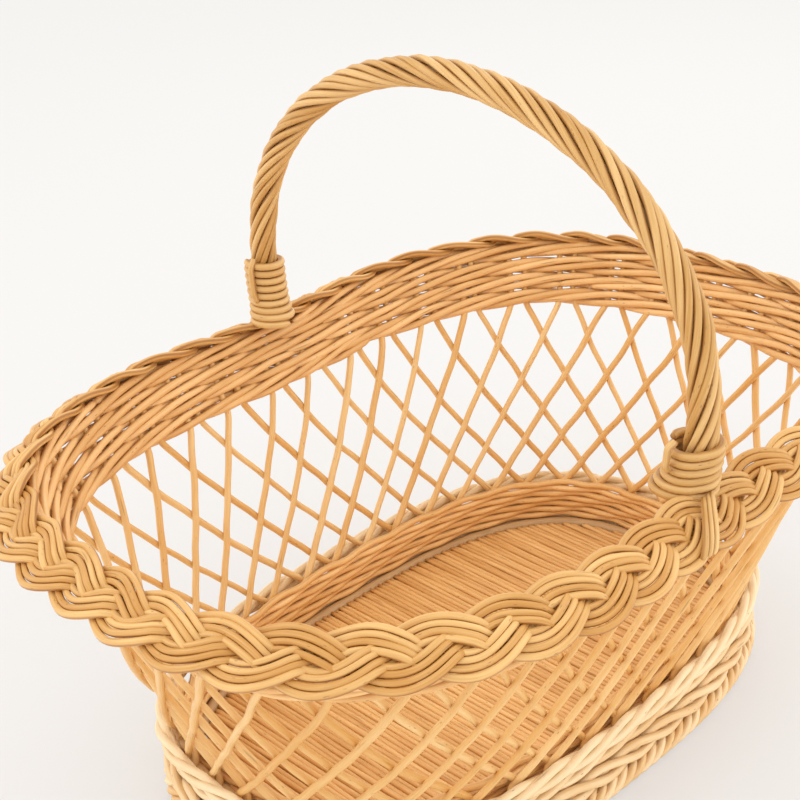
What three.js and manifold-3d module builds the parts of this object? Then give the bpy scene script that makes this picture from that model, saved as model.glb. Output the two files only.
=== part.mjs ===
// Oval willow basket with an open lattice side, a plaited border and a roped handle.
// Millimetres, +Z up, +X along the basket. The origin is under the middle of the foot.
import * as THREE from 'three';
import Module from 'manifold-3d';
import { mergeVertices } from 'three/addons/utils/BufferGeometryUtils.js';

const wasm = await Module();
wasm.setup();

// Clearance left between pieces that touch on the real basket
const GAP = 0.35;

// Oval of the wall's middle line at the foot and at the border
const FOOT_HALF_LENGTH = 157;
const FOOT_HALF_WIDTH = 97.5;
const BORDER_HALF_LENGTH = 202;
const BORDER_HALF_WIDTH = 147;
const FOOT_TOP = 39;
const WALL_TOP = 165;
const OVAL_POWER = 2.76;
const STRAIGHT_FLARE = 0.83;

// The border is drawn in and pulled down a little where the handle stands
const PINCH = 0.06;
const PINCH_REACH = 60;
const DIP = 1.5;
const DIP_REACH = 70;

// Lattice: one folded rod for each unit, its legs crossing the others in five rows
const UNITS = 39;
const SIDE_ROD = 3.1;
const LATTICE_TOP = 137.5;
const LEG_START = 0.05;
const LEG_TRAVEL = 2.79;
const LEG_BEND = 1.25;
const FOLD_HALF_WIDTH = 0.09;
const FOLD_DROP = 6;

// Upper band: one weaver wound round in rows, in front of one pair of legs and behind the next
const BAND_ROWS = 4;
const WEAVER_THICKNESS = 3.2;
const WEAVER_REACH = 0.27;
const STEP_UNITS = 3;
const BAND_START_UNIT = 10;

// Plaited border: three flat strands, each three rods wide
const STRANDS = 3;
const WAVES = 15;
const PLAIT_START = 0.5;
const STRAND_WIDTH = 7.4;
const STRAND_THICKNESS = 2.8;
const STRAND_TILT = 0.3;
const PLAIT_SWING = 7.4;
const PLAIT_LIFT = 2.8;
const PLAIT_OUTSET = 5.6;

// Foot
const UPSETT_BOTTOM = 18.3;
const UPSETT_TOP = 42;
const UPSETT_THICKNESS = 3.6;
const WALE_THICKNESS = 4.6;
const WALE_TOP = 41;
const WALE_LEAN = 2;
const FOOT_BORDER_HEIGHT = 10;
const FOOT_BORDER_WIDTH = 9.6;
const FOOT_FLARE = 1.6;
const FOOT_BAND_THICKNESS = 9;
const SLIT_LENGTH = 13;
const SLIT_WIDTH = 2.8;
const SLIT_DEPTH = 5;
const SLIT_LEAN = 35;

// Base
const HOOP_ROD = 6.6;
const MAT_THICKNESS = 4.4;
const MAT_RODS = 99;
const MAT_GROOVE = 1.3;
const MAT_END = 0.996;
const STICK_ROD = 4.6;
const STICK_SPACING = 42;

// Handle
const HANDLE_TOP = 320.5;
const LEG_SPLAY = 21;
const LEG_HEIGHT = 97;
const TOP_HALF_WIDTH = 70;
const BOW_ROD = 7.4;
const BOW_SIDES = 6;
const ROPE_THICKNESS = 2.9;
const ROPE_GROUPS = 3;
const ROPE_LAY = 100;
const BOW_TAIL = 9;
const LASH_ROD = 3.8;
const LASH_TURNS = 6;
const ROD_END_DROP = 9;
const ROD_END_UNIT = 28.85;
const ROD_END_SLANT = 0.5;

// Colours of the willow
const STRAW = 0xd9ae6b;
const PALE_STRAW = 0xe2bd80;
const HONEY = 0xc99550;
const SHADE = 0xb98344;

const group = new THREE.Group();

function addPiece(name, geometry, color) {
  const material = new THREE.MeshStandardMaterial({ color, roughness: 0.55, metalness: 0 });
  const mesh = new THREE.Mesh(geometry, material);
  mesh.name = name;
  group.add(mesh);
}

// Wall surface

// Point of the unit oval at angle phi
function unitOval(phi) {
  const c = Math.cos(phi);
  const s = Math.sin(phi);
  const r = (Math.abs(c) ** OVAL_POWER + Math.abs(s) ** OVAL_POWER) ** (-1 / OVAL_POWER);
  return [r * c, r * s];
}

// Angles that part the oval into equal lengths, measured half way up the wall
function equalAngles(steps) {
  const halfLength = (FOOT_HALF_LENGTH + BORDER_HALF_LENGTH) / 2;
  const halfWidth = (FOOT_HALF_WIDTH + BORDER_HALF_WIDTH) / 2;
  const fine = 4000;
  const lengths = [0];
  let before = unitOval(0);
  for (let i = 1; i <= fine; i++) {
    const here = unitOval((2 * Math.PI * i) / fine);
    const dx = halfLength * (here[0] - before[0]);
    const dy = halfWidth * (here[1] - before[1]);
    lengths.push(lengths[i - 1] + Math.hypot(dx, dy));
    before = here;
  }
  const angles = [];
  let i = 0;
  for (let k = 0; k <= steps; k++) {
    const want = (lengths[fine] * k) / steps;
    while (i < fine - 1 && lengths[i + 1] < want) i++;
    const part = (want - lengths[i]) / (lengths[i + 1] - lengths[i]);
    angles.push((2 * Math.PI * (i + part)) / fine);
  }
  return angles;
}

const ANGLE_STEPS = 1560;
const ANGLES = equalAngles(ANGLE_STEPS);

// Angle at a place on the oval counted in units from +X
function angleAt(unit) {
  const turns = unit / UNITS;
  const whole = Math.floor(turns);
  const place = (turns - whole) * ANGLE_STEPS;
  const i = Math.min(Math.floor(place), ANGLE_STEPS - 1);
  return 2 * Math.PI * whole + ANGLES[i] + (place - i) * (ANGLES[i + 1] - ANGLES[i]);
}

// Middle of the wall: unit runs round it, rise is 0 at the foot and 1 at the border
function wallPoint(unit, rise) {
  const [cx, cy] = unitOval(angleAt(unit));
  const climb = Math.max(rise, 0);
  const flare = STRAIGHT_FLARE * climb + (1 - STRAIGHT_FLARE) * climb * climb;
  const x = cx * (FOOT_HALF_LENGTH + (BORDER_HALF_LENGTH - FOOT_HALF_LENGTH) * flare);
  const y = cy * (FOOT_HALF_WIDTH + (BORDER_HALF_WIDTH - FOOT_HALF_WIDTH) * flare);
  const pinch = 1 - PINCH * flare * Math.exp(-((x / PINCH_REACH) ** 2));
  const dip = DIP * climb * climb * Math.exp(-((x / DIP_REACH) ** 2));
  return new THREE.Vector3(x, y * pinch, FOOT_TOP + (WALL_TOP - FOOT_TOP) * rise - dip);
}

// Directions along, up and out of the wall at a place
function wallFrame(unit, rise) {
  const du = 0.02;
  const dr = 0.002;
  const point = wallPoint(unit, rise);
  const along = wallPoint(unit + du, rise).sub(wallPoint(unit - du, rise)).normalize();
  const up = wallPoint(unit, rise + dr).sub(wallPoint(unit, rise - dr)).normalize();
  const out = along.clone().cross(up).normalize();
  return { point, along, up: out.clone().cross(along), out };
}

// Place at a distance out of the wall and up it
function offWall(unit, rise, out, up = 0) {
  const frame = wallFrame(unit, rise);
  return frame.point.addScaledVector(frame.out, out).addScaledVector(frame.up, up);
}

// The foot keeps the oval of the wall's lower edge: out is level here
function footPoint(unit, z, out) {
  const frame = wallFrame(unit, 0);
  const level = new THREE.Vector3(frame.out.x, frame.out.y, 0).normalize();
  return new THREE.Vector3(frame.point.x, frame.point.y, z).addScaledVector(level, out);
}

function riseOf(z) {
  return (z - FOOT_TOP) / (WALL_TOP - FOOT_TOP);
}

// Solids swept from rings of points

// Joins rings of equal count into one closed body. Each ring turns left seen from its end.
function skin(rings, closed) {
  const n = rings[0].length;
  const positions = [];
  const index = [];
  for (const ring of rings) {
    for (const p of ring) positions.push(p.x, p.y, p.z);
  }
  const spans = closed ? rings.length : rings.length - 1;
  for (let i = 0; i < spans; i++) {
    const a = i * n;
    const b = ((i + 1) % rings.length) * n;
    for (let j = 0; j < n; j++) {
      const k = (j + 1) % n;
      index.push(a + j, a + k, b + k, a + j, b + k, b + j);
    }
  }
  if (!closed) {
    const last = (rings.length - 1) * n;
    for (let j = 1; j < n - 1; j++) {
      index.push(0, j + 1, j);
      index.push(last, last + j, last + j + 1);
    }
  }
  const geometry = new THREE.BufferGeometry();
  geometry.setAttribute('position', new THREE.Float32BufferAttribute(positions, 3));
  geometry.setIndex(index);
  geometry.computeVertexNormals();
  return geometry;
}

// Section with round sides: width across the path, height along the given out direction
function roundSection(width, height, sides) {
  const section = [];
  for (let j = 0; j < sides; j++) {
    const a = (2 * Math.PI * (j + 0.5)) / sides;
    section.push([(width / 2) * Math.cos(a), (height / 2) * Math.sin(a)]);
  }
  return section;
}

// Flat section with a crowned top, for strands
function crownedSection(width, height) {
  const w = width / 2;
  const h = height / 2;
  return [[w, -0.2 * h], [0.4 * w, h], [-0.4 * w, h], [-w, -0.2 * h], [0, -h]];
}

// Square section, for the tape-like weaver
function squareSection(width, height) {
  const w = width / 2;
  const h = height / 2;
  return [[w, h], [-w, h], [-w, -h], [w, -h]];
}

// Sweeps a section along stations of { point, out }
function sweep(stations, section, closed = false) {
  const count = stations.length;
  const rings = stations.map(({ point, out }, i) => {
    const next = stations[closed ? (i + 1) % count : Math.min(i + 1, count - 1)].point;
    const back = stations[closed ? (i + count - 1) % count : Math.max(i - 1, 0)].point;
    const ahead = next.clone().sub(point);
    const behind = point.clone().sub(back);
    const tangent = ahead.normalize().add(behind.normalize()).normalize();
    const lift = out.clone().addScaledVector(tangent, -out.dot(tangent)).normalize();
    const side = lift.clone().cross(tangent);
    return section.map(([x, y]) => point.clone().addScaledVector(side, x).addScaledVector(lift, y));
  });
  return skin(rings, closed);
}

// Lattice

// A leg leans most at the foot and steepens as it climbs
function legUnit(rise) {
  const climb = rise / riseOf(LATTICE_TOP);
  return LEG_START + LEG_TRAVEL * climb + LEG_BEND * climb * (1 - climb);
}

// Height on the wall of the crossing row m
function crossingRise(m) {
  const start = LEG_TRAVEL + LEG_BEND;
  const root = Math.sqrt(start ** 2 - 4 * LEG_BEND * (m / 2 - LEG_START));
  return ((start - root) / (2 * LEG_BEND)) * riseOf(LATTICE_TOP);
}

const LAYER_OFFSET = SIDE_ROD / 2 + GAP / 6;
const STAKE_TOP = 1 - GAP / (WALL_TOP - FOOT_TOP);
const FOLD_RISE = -FOLD_DROP / (WALL_TOP - FOOT_TOP);

// Stations of one leg from its fold to its top: lean is +1 for the outer layer, -1 for the inner
function legStations(unit, lean) {
  const latticeTop = riseOf(LATTICE_TOP);
  const places = [[FOLD_HALF_WIDTH, FOLD_RISE, 0.6]];
  for (const row of [1, 3, 5]) {
    const rise = crossingRise(row);
    places.push([legUnit(rise), rise, 1]);
  }
  places.push([legUnit(latticeTop), latticeTop, 0]);
  places.push([legUnit(latticeTop), STAKE_TOP, 0]);
  return places.map(([across, rise, layer]) => {
    const place = unit + lean * across;
    return {
      point: offWall(place, rise, lean * layer * LAYER_OFFSET),
      out: wallFrame(place, rise).out,
    };
  });
}

for (let k = 0; k < UNITS; k++) {
  const outer = legStations(k, 1).reverse();
  const inner = legStations(k, -1);
  const name = `side_rod_${String(k + 1).padStart(2, '0')}`;
  addPiece(name, sweep([...outer, ...inner], roundSection(SIDE_ROD, SIDE_ROD, 4)), STRAW);
}

// Upper band

const BAND_RISE = riseOf(LATTICE_TOP);
const ROW_RISE = (1 - BAND_RISE) / BAND_ROWS;
const BAND_SWING = SIDE_ROD / 2 + WEAVER_THICKNESS / 2 + GAP;

function weaverStations() {
  const stations = [];
  const count = UNITS * BAND_ROWS - STEP_UNITS;
  for (let i = 0; i < count; i++) {
    for (const reach of [-WEAVER_REACH, WEAVER_REACH]) {
      const along = i + reach;
      const turn = Math.floor(i / UNITS);
      const late = Math.max(0, along - turn * UNITS - (UNITS - STEP_UNITS)) / STEP_UNITS;
      const row = turn + Math.min(late, 1) + 0.5;
      const rise = BAND_RISE + ROW_RISE * row;
      const place = BAND_START_UNIT + along;
      const side = i % 2 === 0 ? 1 : -1;
      stations.push({
        point: offWall(place, rise, side * BAND_SWING),
        out: wallFrame(place, rise).out,
      });
    }
  }
  return stations;
}

// Height of one row measured up the wall at its lowest row, at the ends of the basket
const ROW_HEIGHT = wallPoint(0, BAND_RISE + ROW_RISE).distanceTo(wallPoint(0, BAND_RISE)) - GAP;
addPiece('upper_band', sweep(weaverStations(), squareSection(ROW_HEIGHT, WEAVER_THICKNESS)), HONEY);

// Plaited border

const PLAIT_HEIGHT = PLAIT_LIFT + STRAND_THICKNESS / 2 + GAP;
const PLAIT_HALF_WIDTH = PLAIT_SWING + STRAND_WIDTH / 2;

function plaitPoint(unit, across, lift) {
  return offWall(unit, 1, PLAIT_OUTSET + across, PLAIT_HEIGHT + lift);
}

// Side to side once for each wave, over and under twice, staying high or low while it crosses
function strandStations(strand) {
  const perWave = 8;
  const stations = [];
  const count = WAVES * perWave;
  for (let i = 0; i < count; i++) {
    const phase = 2 * Math.PI * (i / perWave + strand / STRANDS);
    const unit = PLAIT_START + (i * UNITS) / count;
    const under = Math.sin(2 * phase);
    const across = PLAIT_SWING * Math.sin(phase);
    const lift = -PLAIT_LIFT * Math.sign(under) * Math.sqrt(Math.abs(under));
    const tilt = -STRAND_TILT * Math.cos(3 * phase);
    const frame = wallFrame(unit, 1);
    const out = frame.up.multiplyScalar(Math.cos(tilt)).addScaledVector(frame.out, Math.sin(tilt));
    stations.push({ point: plaitPoint(unit, across, lift), out });
  }
  return stations;
}

for (let strand = 0; strand < STRANDS; strand++) {
  const section = crownedSection(STRAND_WIDTH, STRAND_THICKNESS);
  addPiece(`border_strand_${strand + 1}`, sweep(strandStations(strand), section, true), STRAW);
}

// Foot

const LAYER_HALF = LAYER_OFFSET + SIDE_ROD / 2;
const FOOT_BAND_TOP = FOOT_TOP - FOLD_DROP - SIDE_ROD / 2 - GAP;
const WALE_BOTTOM = FOOT_BAND_TOP + GAP;
const STEPS_ROUND = UNITS;

// Closed ring round the foot from an outline of [out, z] that turns left
function footRing(outline) {
  const rings = [];
  for (let i = STEPS_ROUND; i > 0; i--) {
    rings.push(outline.map(([out, z]) => footPoint((i * UNITS) / STEPS_ROUND, z, out)));
  }
  return skin(rings, true);
}

function toManifold(geometry) {
  const bare = new THREE.BufferGeometry();
  bare.setAttribute('position', geometry.getAttribute('position'));
  bare.setIndex(geometry.getIndex());
  const merged = mergeVertices(bare);
  const vertProperties = merged.getAttribute('position').array;
  const triVerts = Uint32Array.from(merged.getIndex().array);
  return new wasm.Manifold(new wasm.Mesh({ numProp: 3, vertProperties, triVerts }));
}

function fromManifold(solid) {
  const mesh = solid.getMesh();
  const geometry = new THREE.BufferGeometry();
  geometry.setAttribute('position', new THREE.BufferAttribute(mesh.vertProperties, 3));
  geometry.setIndex(new THREE.BufferAttribute(mesh.triVerts, 1));
  geometry.computeVertexNormals();
  return geometry;
}

// Rolled border that the basket stands on, flat underneath
const borderOut = FOOT_BAND_THICKNESS / 2 + FOOT_FLARE / 2;
const borderIn = borderOut - FOOT_BORDER_WIDTH / 2;
const borderEnd = borderOut + FOOT_BORDER_WIDTH / 2;
addPiece('foot_border', footRing([
  [borderIn + FOOT_BORDER_WIDTH * 0.3, 0],
  [borderEnd - FOOT_BORDER_WIDTH * 0.3, 0],
  [borderEnd, FOOT_BORDER_HEIGHT * 0.4],
  [borderEnd - FOOT_BORDER_WIDTH * 0.26, FOOT_BORDER_HEIGHT],
  [borderIn + FOOT_BORDER_WIDTH * 0.26, FOOT_BORDER_HEIGHT],
  [borderIn, FOOT_BORDER_HEIGHT * 0.4],
]), PALE_STRAW);

// Woven foot band with one slanting slit for each unit
function footBand() {
  const bottom = FOOT_BORDER_HEIGHT + GAP;
  const outTop = FOOT_BAND_THICKNESS - LAYER_HALF + 0.6;
  const ring = footRing([
    [-LAYER_HALF + FOOT_FLARE * 0.8, bottom],
    [outTop + FOOT_FLARE, bottom],
    [outTop, FOOT_BAND_TOP],
    [-LAYER_HALF, FOOT_BAND_TOP],
    [-LAYER_HALF, UPSETT_BOTTOM],
  ]);
  let band = toManifold(ring);
  for (let k = 0; k < UNITS; k++) {
    const slit = new THREE.BoxGeometry(SLIT_WIDTH, 2 * SLIT_DEPTH, SLIT_LENGTH);
    const frame = wallFrame(k + 0.5, 0);
    const level = new THREE.Vector3(frame.out.x, frame.out.y, 0).normalize();
    const middle = footPoint(k + 0.5, (bottom + FOOT_BAND_TOP) / 2, outTop + FOOT_FLARE / 2);
    const turn = new THREE.Matrix4().makeBasis(frame.along.clone().negate(), level,
      new THREE.Vector3(0, 0, 1));
    const lean = new THREE.Matrix4().makeRotationY(THREE.MathUtils.degToRad(-SLIT_LEAN));
    slit.applyMatrix4(turn.multiply(lean));
    slit.translate(middle.x, middle.y, middle.z);
    band = band.subtract(toManifold(slit));
  }
  return fromManifold(band);
}

addPiece('foot_band', footBand(), STRAW);

const waleIn = LAYER_HALF + 2 * GAP;
addPiece('foot_wale', footRing([
  [waleIn, WALE_BOTTOM],
  [waleIn + WALE_THICKNESS * 0.6, WALE_BOTTOM],
  [waleIn + WALE_THICKNESS + WALE_LEAN / 2, (WALE_BOTTOM + WALE_TOP) / 2],
  [waleIn + WALE_THICKNESS * 0.6 + WALE_LEAN, WALE_TOP],
  [waleIn + WALE_LEAN, WALE_TOP],
]), PALE_STRAW);

const upsettOut = -LAYER_HALF - GAP;
addPiece('upsett_band', footRing([
  [upsettOut - UPSETT_THICKNESS, UPSETT_BOTTOM],
  [upsettOut, UPSETT_BOTTOM],
  [upsettOut, UPSETT_TOP],
  [upsettOut - UPSETT_THICKNESS, UPSETT_TOP],
]), HONEY);

// Base

const hoopMiddle = -LAYER_HALF - GAP - HOOP_ROD / 2;
const hoopTop = UPSETT_BOTTOM - GAP;
const hoopSection = roundSection(HOOP_ROD, HOOP_ROD, 6);
const hoopOutline = hoopSection.map(([x, y]) => [hoopMiddle + x, hoopTop - HOOP_ROD / 2 + y]);
addPiece('base_hoop', footRing(hoopOutline), SHADE);

// Woven mat that fills the hoop
const matTop = hoopTop;
const matOut = hoopMiddle - HOOP_ROD / 2 - GAP;

// Edge of the mat at a distance along the basket, on the +Y or -Y side
function matEdge(outline, x, side) {
  for (let i = 0; i < outline.length; i++) {
    const p = outline[i];
    const q = outline[(i + 1) % outline.length];
    const crosses = (p.x - x) * (q.x - x) <= 0 && p.x !== q.x;
    if (crosses && (p.y + q.y) * side > 0) return p.y + ((x - p.x) / (q.x - p.x)) * (q.y - p.y);
  }
  return 0;
}

// The mat's rods run across it, each a flat-topped ridge with a groove on either side
function baseMat() {
  const outline = [];
  for (let i = 0; i < STEPS_ROUND; i++) outline.push(footPoint((i * UNITS) / STEPS_ROUND, 0, matOut));
  const half = (FOOT_HALF_LENGTH + matOut) * MAT_END;
  const rings = [];
  for (let i = 0; i <= 3 * MAT_RODS; i++) {
    const groove = i % 3 === 0 ? MAT_GROOVE : 0;
    const rod = Math.floor(i / 3) + [0, 0.36, 0.64][i % 3];
    const x = half - (2 * half * rod) / MAT_RODS;
    const low = matTop - MAT_THICKNESS + groove;
    const high = matTop - groove;
    const left = matEdge(outline, x, -1);
    const right = matEdge(outline, x, 1);
    rings.push([[left, low], [left, high], [right, high], [right, low]]
      .map(([y, z]) => new THREE.Vector3(x, y, z)));
  }
  return skin(rings, false);
}

addPiece('base_mat', baseMat(), HONEY);

// Sticks lie lengthwise under the mat and stop at the hoop
for (let k = -1; k <= 1; k++) {
  const y = k * STICK_SPACING;
  const part = Math.min(1, Math.abs(y) / (FOOT_HALF_WIDTH + hoopMiddle - HOOP_ROD / 2));
  const reach = FOOT_HALF_LENGTH + hoopMiddle - HOOP_ROD / 2 - GAP;
  const half = reach * (1 - part ** OVAL_POWER) ** (1 / OVAL_POWER) - GAP;
  const stick = new THREE.CylinderGeometry(STICK_ROD / 2, STICK_ROD / 2, 2 * half, 8);
  stick.rotateZ(Math.PI / 2);
  stick.translate(0, y, matTop - MAT_THICKNESS - GAP - STICK_ROD / 2);
  addPiece(`base_stick_${k + 2}`, stick, SHADE);
}

// Handle

const FAR_UNIT = UNITS * 0.25;
const ROPE_RADIUS = BOW_ROD / 2 + GAP + ROPE_THICKNESS;

// The bow runs straight up inside the band and past the border's inner edge, in the wall's slope
const bowInside = Math.max(BAND_SWING + WEAVER_THICKNESS / 2, PLAIT_HALF_WIDTH - PLAIT_OUTSET)
  + GAP + (BOW_ROD / 2) * Math.cos(Math.PI / BOW_SIDES);

function bowFoot(up) {
  const p = offWall(FAR_UNIT, 1, -bowInside, up);
  return new THREE.Vector3(0, p.y, p.z);
}

// The rope starts just above the border
const borderTop = PLAIT_HEIGHT + PLAIT_LIFT + STRAND_THICKNESS / 2;
const ropeStart = bowFoot(borderTop + GAP);

// Half of the arch over the far side, from the border up to the top
const archUp = new THREE.CubicBezierCurve3(
  ropeStart,
  new THREE.Vector3(0, ropeStart.y + LEG_SPLAY, ropeStart.z + LEG_HEIGHT),
  new THREE.Vector3(0, TOP_HALF_WIDTH, HANDLE_TOP),
  new THREE.Vector3(0, 0, HANDLE_TOP),
);

function mirrorY(p) {
  return new THREE.Vector3(p.x, -p.y, p.z);
}

// Whole arch from the far leg to the near leg, evenly spaced
function archPoints(steps) {
  const half = archUp.getSpacedPoints(steps);
  return [...half, ...half.slice(0, -1).reverse().map(mirrorY)];
}

// Tail of the bow, pushed down inside the band
function bowTail() {
  return [-BOW_TAIL, -BOW_TAIL / 2, 0, borderTop * 0.7].map(bowFoot);
}

function bowStations() {
  const tail = bowTail();
  const path = [...tail, ...archPoints(15), ...tail.slice().reverse().map(mirrorY)];
  return path.map((point) => ({ point, out: new THREE.Vector3(1, 0, 0) }));
}

addPiece('handle_bow', sweep(bowStations(), roundSection(BOW_ROD, BOW_ROD, BOW_SIDES)), SHADE);

// One group of roping rods: a curved slice of the ring round the bow, twisted along the arch
function ropeGroup(index) {
  const path = archPoints(17);
  const rings = [];
  let run = 0;
  const slice = (2 * Math.PI) / ROPE_GROUPS;
  const inner = (BOW_ROD / 2 + GAP) / Math.cos(slice / 6);
  const margin = GAP / inner;
  path.forEach((point, i) => {
    if (i > 0) run += point.distanceTo(path[i - 1]);
    const next = path[Math.min(i + 1, path.length - 1)];
    const back = path[Math.max(i - 1, 0)];
    const tangent = next.clone().sub(back).normalize();
    const side = new THREE.Vector3(1, 0, 0);
    const lift = tangent.clone().cross(side);
    const start = slice * index + (2 * Math.PI * run) / ROPE_LAY;
    const ring = [];
    const angles = [margin / 2, slice / 3, (2 * slice) / 3, slice - margin / 2];
    for (const a of angles) ring.push([ROPE_RADIUS, start + a]);
    for (const a of angles.slice().reverse()) ring.push([inner, start + a]);
    rings.push(ring.map(([r, a]) => point.clone()
      .addScaledVector(side, r * Math.cos(a)).addScaledVector(lift, r * Math.sin(a))));
  });
  return skin(rings, false);
}

for (let i = 0; i < ROPE_GROUPS; i++) {
  addPiece(`handle_rope_${i + 1}`, ropeGroup(i), STRAW);
}

// Lashing wound round each foot of the handle
function lashing(side) {
  const radius = ROPE_RADIUS + GAP + LASH_ROD / 2;
  const pitch = LASH_ROD + GAP;
  const perTurn = 8;
  const stations = [];
  for (let i = 0; i <= LASH_TURNS * perTurn; i++) {
    const rise = LASH_ROD / 2 + (pitch * i) / perTurn;
    const part = rise / archUp.getLength();
    const middle = archUp.getPointAt(part);
    const tangent = archUp.getTangentAt(part);
    const across = new THREE.Vector3(1, 0, 0);
    const lift = tangent.clone().cross(across);
    const angle = (2 * Math.PI * i) / perTurn;
    const out = across.multiplyScalar(Math.cos(angle)).addScaledVector(lift, Math.sin(angle));
    const point = middle.clone().addScaledVector(out, radius);
    stations.push({ point, out });
  }
  if (side < 0) {
    for (const s of stations) {
      s.point.set(-s.point.x, -s.point.y, s.point.z);
      s.out.set(-s.out.x, -s.out.y, s.out.z);
    }
  }
  return sweep(stations, roundSection(LASH_ROD, LASH_ROD, 4));
}

addPiece('lashing_far', lashing(1), STRAW);
addPiece('lashing_near', lashing(-1), STRAW);

// Rod ends laid over the border below the near lashing, slanting towards one end of the basket
function rodEnds() {
  const over = PLAIT_LIFT + STRAND_THICKNESS;
  const beyond = PLAIT_HALF_WIDTH + GAP + STRAND_THICKNESS / 2;
  const places = [
    [0, over, 0],
    [PLAIT_HALF_WIDTH - STRAND_THICKNESS / 2, over, 1],
    [beyond + STRAND_THICKNESS / 2, 0, 1],
    [beyond, -PLAIT_HEIGHT - ROD_END_DROP / 2, 1],
    [beyond - STRAND_THICKNESS / 2, -PLAIT_HEIGHT - ROD_END_DROP, 1],
  ];
  const stations = places.map(([across, lift, slant], i) => {
    const before = places[Math.max(i - 1, 0)];
    const after = places[Math.min(i + 1, places.length - 1)];
    const unit = ROD_END_UNIT - ROD_END_SLANT * slant;
    const frame = wallFrame(unit, 1);
    const out = frame.out.clone().multiplyScalar(before[1] - after[1])
      .addScaledVector(frame.up, after[0] - before[0]);
    return { point: plaitPoint(unit, across, lift), out };
  });
  return sweep(stations, crownedSection(STRAND_WIDTH, STRAND_THICKNESS));
}

addPiece('rod_ends', rodEnds(), PALE_STRAW);

export default group;
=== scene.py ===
import math

import bpy
import numpy as np
from mathutils import Matrix, Vector

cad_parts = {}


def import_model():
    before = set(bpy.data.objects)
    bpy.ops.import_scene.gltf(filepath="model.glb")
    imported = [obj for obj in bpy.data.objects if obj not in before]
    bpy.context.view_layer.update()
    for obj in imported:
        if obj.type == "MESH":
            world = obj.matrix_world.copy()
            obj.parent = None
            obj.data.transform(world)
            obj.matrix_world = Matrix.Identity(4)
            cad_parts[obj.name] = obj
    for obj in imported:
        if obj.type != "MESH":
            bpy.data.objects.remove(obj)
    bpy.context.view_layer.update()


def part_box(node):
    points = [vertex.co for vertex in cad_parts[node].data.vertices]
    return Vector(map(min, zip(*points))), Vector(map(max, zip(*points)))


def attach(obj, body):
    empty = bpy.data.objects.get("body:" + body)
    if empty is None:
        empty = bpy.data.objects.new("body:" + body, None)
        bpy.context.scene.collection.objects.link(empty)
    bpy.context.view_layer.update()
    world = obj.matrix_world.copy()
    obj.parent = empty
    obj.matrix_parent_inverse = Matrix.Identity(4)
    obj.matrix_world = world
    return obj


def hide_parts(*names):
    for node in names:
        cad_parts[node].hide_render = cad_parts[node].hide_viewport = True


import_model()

MM = 0.001

# Oval wall, as in the solids. A place on it is given by its unit, counted along the oval with one
# unit for each folded side rod, and by its rise: 0 at the top of the foot, 1 at the border.
UNITS = 39
OVAL_POWER = 2.76
FOOT_HALF_LENGTH = 157 * MM
FOOT_HALF_WIDTH = 97.5 * MM
BORDER_HALF_LENGTH = 202 * MM
BORDER_HALF_WIDTH = 147 * MM
FOOT_TOP = 39 * MM
WALL_TOP = 165 * MM
STRAIGHT_FLARE = 0.83
PINCH = 0.06
PINCH_REACH = 60 * MM
DIP = 1.5 * MM
DIP_REACH = 70 * MM

# Steps for measuring the wall's directions, in units and in rise
UNIT_STEP = 0.02
RISE_STEP = 0.002
OVAL_POINTS = 4001

# Every rod: how much its ends shrink, and the range in which its grain starts
END_SHRINK = 0.72
GRAIN_RANGE = 3
GRAIN_SEAM = 1 * MM

# Unevenness of a closed ring, in waves round it
RING_WAVES = (3, 7, 13, 26, 31, 52)
RING_WAVE_SHARE = 0.6

# Lattice. A leg leans until it has climbed most of the lattice, then it stands upright.
SIDE_ROD = 3.5 * MM
LATTICE_TOP = 137.5 * MM
LEG_START = 0.05
LEG_TRAVEL = 2.79
LEG_BEND = 1.25
LEG_PAUSE = 0.12
LEG_PAUSES = 2
LEG_POINTS = 64
LEAN_END = 0.96
LEAN_EASE = 0.04
LAYER_OFFSET = 1.65 * MM
LAYERS_APART = 0.03
LAYERS_MEET = (0.93, 1.04)
FOLD_RISE = -0.075
FOLD_TOP = -0.015
STAKE_TOP = 0.985
LEG_DRIFT = 0.02
ROD_SHIFT = 0.035
LEG_SHIFT = 0.03
SIDE_ROD_SPREAD = 0.06
SIDE_ROD_TAPER = 0.02

# Upper band. Its rods are laid in lengths, given in points of the path.
BAND_ROWS = 4
BAND_START_RISE = -0.02
BAND_TOP_RISE = 1.02
BAND_SWING = 2.9 * MM
BAND_SLANT = 2.9 * MM
BAND_FLATNESS = 0.6
BAND_POINTS = 10
BAND_LEAD = 0.8
BAND_TAIL = 0.2
BAND_DRIFT_OUT = 0.2 * MM
BAND_DRIFT_UP = 0.22 * MM
BAND_DRIFT_WAVES = 60
WEAVER_RODS = 4
WEAVER_ROD = 3.85 * MM
WEAVER_ROD_SPREAD = 0.05
WEAVER_FLAT = 0.9
WEAVER_LENGTH = int(BAND_POINTS * UNITS * 0.62)
WEAVER_UNEVEN = 6 * BAND_POINTS
WEAVER_SHORTEST = 4 * BAND_POINTS
STEP_UNITS = 3
BAND_START_UNIT = 10

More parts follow.
